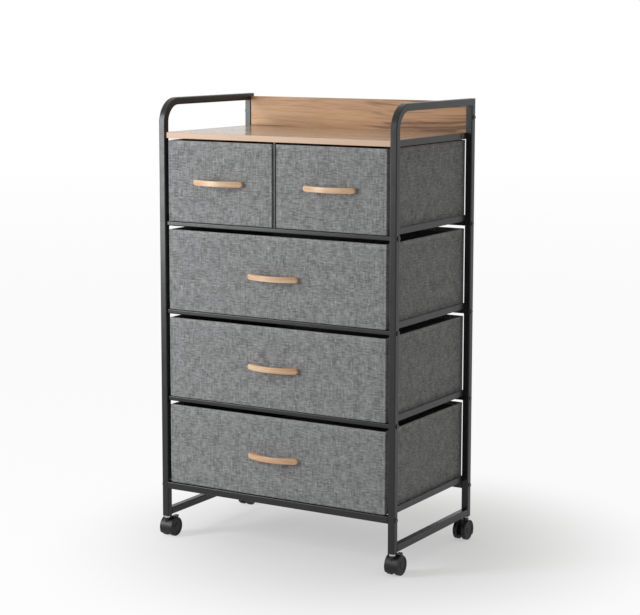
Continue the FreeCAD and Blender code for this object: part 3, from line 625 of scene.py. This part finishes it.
# Share of its length, share of its radius, and rise in radii
STITCH_ARCH = ((0.0, 0.15, -0.9), (0.12, 0.8, -0.1), (0.5, 1.0, 0.35), (0.88, 0.8, -0.1), (1.0, 0.15, -0.9))
BINDING_STITCH_RISE = 1.8 * MM  # over the binding's lower edge
BINDING_STITCH_INSET = 0.45 * MM
PANEL_STITCH_INSET = 1.15 * MM
ROW_END_GAP = 0.5 * MM  # from a rounded corner or the binding
PANEL_ROW_GAP = 1 * MM


def hem_strip(name, low, high):
    """Binding folded over the rim of a drawer and stitched through."""
    ring = outline(low, high, DRAWER_CORNER, (0.0, NEAR_CORNER), RING_STEP)
    rows = []

    def level(z, inset):
        row = []
        for spot, (x, y, _) in zip(ring, inset_ring(ring, low, high, inset, z)):
            place = Vector((spot.x * BINDING_ACROSS, spot.y * BINDING_ACROSS, z * BINDING_UP))
            wave = BINDING_WAVE * noise.noise(place)
            row.append((x - spot.nx * wave, y - spot.ny * wave, z + wave))
        rows.append(row)

    for height, inset in BINDING_OUTSIDE:
        level(high.z - HEM + height * MM, inset * MM)
    for depth, inset in BINDING_INSIDE:
        level(high.z - depth * MM, inset * MM)
    points, faces = lofted(rows)
    count = len(ring)
    last = len(points) - count
    for i in range(count):
        j = (i + 1) % count
        faces.append((last + i, last + j, j, i))
    return new_object(name, mesh_of(name, points, faces), hem_fabric)


def stitch(start, end, out):
    """One stitch: a small arched thread between two holes."""
    side = (end - start).normalized().cross(out).normalized()
    rings = []
    for share, size, rise in STITCH_ARCH:
        centre = start.lerp(end, share) + out * rise * STITCH_RADIUS
        ring = []
        for i in range(STITCH_SIDES):
            angle = math.tau * i / STITCH_SIDES
            offset = side * math.cos(angle) + out * math.sin(angle) * STITCH_FLAT
            ring.append(centre + offset * STITCH_RADIUS * size)
        rings.append(ring)
    points, faces = lofted(rings)
    last = len(points) - STITCH_SIDES
    faces.append(tuple(reversed(range(STITCH_SIDES))))
    faces.append(tuple(range(last, len(points))))
    return points, faces


def stitch_rows(name, rows):
    """Stitches along straight rows, each from start to end with its outward direction."""
    points, faces = [], []
    for start, end, out in rows:
        length = (end - start).length
        count = int(length / STITCH_PITCH)
        along = (end - start) / length
        lead = (length - (count - 1) * STITCH_PITCH - STITCH_LENGTH) / 2
        for i in range(count):
            a = start + along * (lead + i * STITCH_PITCH)
            more, more_faces = stitch(a, a + along * STITCH_LENGTH, out)
            base = len(points)
            points += more
            faces += [tuple(base + v for v in face) for face in more_faces]
    return new_object(name, mesh_of(name, points, faces), thread)


def drawer_stitches(name, low, high):
    """Rows through the binding on all four walls, and down the panels' edges; two run along the bottom."""
    rows = []
    z_hem = high.z - HEM + BINDING_STITCH_RISE
    z_low, z_high = low.z + FLANGE, high.z - HEM - PANEL_ROW_GAP
    ends = DRAWER_CORNER + ROW_END_GAP
    for y, out in ((low.y, -1), (high.y, 1)):
        face = Vector((0, out, 0))
        binding = y - out * BINDING_STITCH_INSET
        rows.append((Vector((low.x + ends, binding, z_hem)), Vector((high.x - ends, binding, z_hem)), face))
        panel = y - out * PANEL_STITCH_INSET
        for x in (low.x + FLANGE, high.x - FLANGE):
            rows.append((Vector((x, panel, z_low)), Vector((x, panel, z_high)), face))
        rows.append((Vector((low.x + FLANGE, panel, z_low)), Vector((high.x - FLANGE, panel, z_low)), face))
    for x, out in ((low.x, -1), (high.x, 1)):
        face = Vector((out, 0, 0))
        binding = x - out * BINDING_STITCH_INSET
        rows.append((Vector((binding, low.y + ends, z_hem)), Vector((binding, high.y - ends, z_hem)), face))
        panel = x - out * PANEL_STITCH_INSET
        for y in (low.y + FLANGE, high.y - FLANGE):
            rows.append((Vector((panel, y, z_low)), Vector((panel, y, z_high)), face))
    return stitch_rows(name, rows)


SEED_BETWEEN_DRAWERS = 3.7

for number, drawer in enumerate(DRAWERS):
    box_low, box_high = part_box(f"{drawer}_box")
    shell = drawer_shell(f"{drawer}_cloth", box_low, box_high, SEED_BETWEEN_DRAWERS * number)
    hem = hem_strip(f"{drawer}_hem", box_low, box_high)
    stitches = drawer_stitches(f"{drawer}_stitches", box_low, box_high)
    for piece in (shell, hem, stitches):
        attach(piece, drawer)
    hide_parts(f"{drawer}_box")

# ---------------------------------------------------------------- floor and backdrop

FLOOR_SIZE = 30.0
PAPER_DARK, PAPER_LIGHT = grey(0.78), grey(0.82)
WHITE = grey(1.0)

# Painted shade on the seen floor: it stays grey round this place, over and beyond the object's real shadow,
# and turns white away from it
SHADOW_MIDDLE = (0.09, 0.03)
SHADOW_REACH = (0.2, 0.7)
SHADOW_WHITE = (0.44, 0.93)  # share of white at those two distances
HORIZON_REACH = (2.0, 12.0)
HORIZON_WHITE = 0.07  # more of it out there

FILL_COLOUR, FILL_STRENGTH = rgb(1.0, 0.985, 0.955), 0.44


def seen_by_camera(t):
    """One for the rays that show the background: camera, glossy and transmission rays."""
    rays = t.add("ShaderNodeLightPath")
    seen = t.math("MAXIMUM", rays.outputs["Is Camera Ray"], rays.outputs["Is Glossy Ray"])
    return t.math("MAXIMUM", seen, rays.outputs["Is Transmission Ray"])


def build_floor(t):
    """White paper sweep: it keeps the object's real shadow, adds painted shade in a grey pool round it, and
    runs out into the white backdrop.
    """
    point, (x, y, _), _ = t.place()
    cloud = t.noise(point, scale=1.5, detail=3.0)
    lit = t.add("ShaderNodeBsdfDiffuse", {"Color": t.mix(cloud, PAPER_DARK, PAPER_LIGHT)})
    white = t.add("ShaderNodeEmission", {"Color": WHITE, "Strength": 1.0})
    along, across = t.minus(x, SHADOW_MIDDLE[0]), t.minus(y, SHADOW_MIDDLE[1])
    reach = t.math("SQRT", t.plus(t.times(along, along), t.times(across, across)))
    # Painted shade: less white round SHADOW_MIDDLE leaves the seen floor greyer there than its lighting
    # makes it
    white_outside_painted_pool = t.ramp(reach, *SHADOW_REACH, *SHADOW_WHITE)
    far = t.ramp(reach, *HORIZON_REACH, to_high=HORIZON_WHITE)
    share = t.times(t.plus(white_outside_painted_pool, far), seen_by_camera(t))
    paper_sweep = t.add("ShaderNodeMixShader", {0: share, 1: lit.outputs[0], 2: white.outputs[0]})
    t.add("ShaderNodeOutputMaterial", {"Surface": paper_sweep.outputs[0]})


half_floor = FLOOR_SIZE / 2
floor_points = [(-half_floor, -half_floor, 0), (half_floor, -half_floor, 0)]
floor_points += [(half_floor, half_floor, 0), (-half_floor, half_floor, 0)]
floor_mesh = mesh_of("floor", floor_points, [(0, 1, 2, 3)], smooth=False)
new_object("floor", floor_mesh, material("floor", build_floor))

world = bpy.data.worlds.new("studio")
bpy.context.scene.world = world
sky = Tree(world)
dim = sky.add("ShaderNodeBackground", {"Color": FILL_COLOUR, "Strength": FILL_STRENGTH})
bright = sky.add("ShaderNodeBackground", {"Color": WHITE, "Strength": 1.0})
backdrop = sky.add("ShaderNodeMixShader", {0: seen_by_camera(sky), 1: dim.outputs[0], 2: bright.outputs[0]})
sky.add("ShaderNodeOutputWorld", {"Surface": backdrop.outputs[0]})

# ---------------------------------------------------------------- lamp

KEY_PLACE, KEY_TARGET = (-1.3, -1.58, 1.15), (-0.1, 0, 1.5)
KEY_WIDTH, KEY_HEIGHT = 0.52, 1.5
KEY_POWER = 35.0
KEY_COLOUR = (0.955, 0.98, 1.0)

key = bpy.data.lights.new("key", "AREA")
key.shape = "RECTANGLE"
key.size, key.size_y = KEY_WIDTH, KEY_HEIGHT
key.energy = KEY_POWER
key.color = KEY_COLOUR
key_holder = bpy.data.objects.new("key", key)
bpy.context.collection.objects.link(key_holder)
key_holder.location = KEY_PLACE
key_holder.rotation_mode = "QUATERNION"
key_holder.rotation_quaternion = (Vector(KEY_TARGET) - Vector(KEY_PLACE)).to_track_quat("-Z", "Y")

# ---------------------------------------------------------------- camera

PHOTO_WIDTH_PX = 640.0
FOCAL_PX = 1804.5
CAMERA_SHIFT_PX = 45.0
SENSOR_WIDTH_MM = 36.0
CLIP_END = 100.0
CAMERA_X, CAMERA_BEFORE_POSTS, CAMERA_Z = 1.9266, 3.0320, 1.0786
CAMERA_YAW, CAMERA_PITCH, CAMERA_ROLL = math.radians(30.937), math.radians(7.461), math.radians(0.088)

camera_data = bpy.data.cameras.new("camera")
camera_data.sensor_width = SENSOR_WIDTH_MM
camera_data.lens = FOCAL_PX / PHOTO_WIDTH_PX * SENSOR_WIDTH_MM
camera_data.shift_y = -CAMERA_SHIFT_PX / PHOTO_WIDTH_PX
camera_data.clip_end = CLIP_END
camera = bpy.data.objects.new("camera", camera_data)
bpy.context.collection.objects.link(camera)
bpy.context.scene.camera = camera
posts_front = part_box("left_hoop")[0].y
turn = Matrix.Rotation(CAMERA_YAW, 4, "Z") @ Matrix.Rotation(math.pi / 2 - CAMERA_PITCH, 4, "X")
turn = turn @ Matrix.Rotation(CAMERA_ROLL, 4, "Z")
camera.matrix_world = Matrix.Translation((CAMERA_X, posts_front - CAMERA_BEFORE_POSTS, CAMERA_Z)) @ turn

bpy.context.scene.view_settings.view_transform = "Standard"
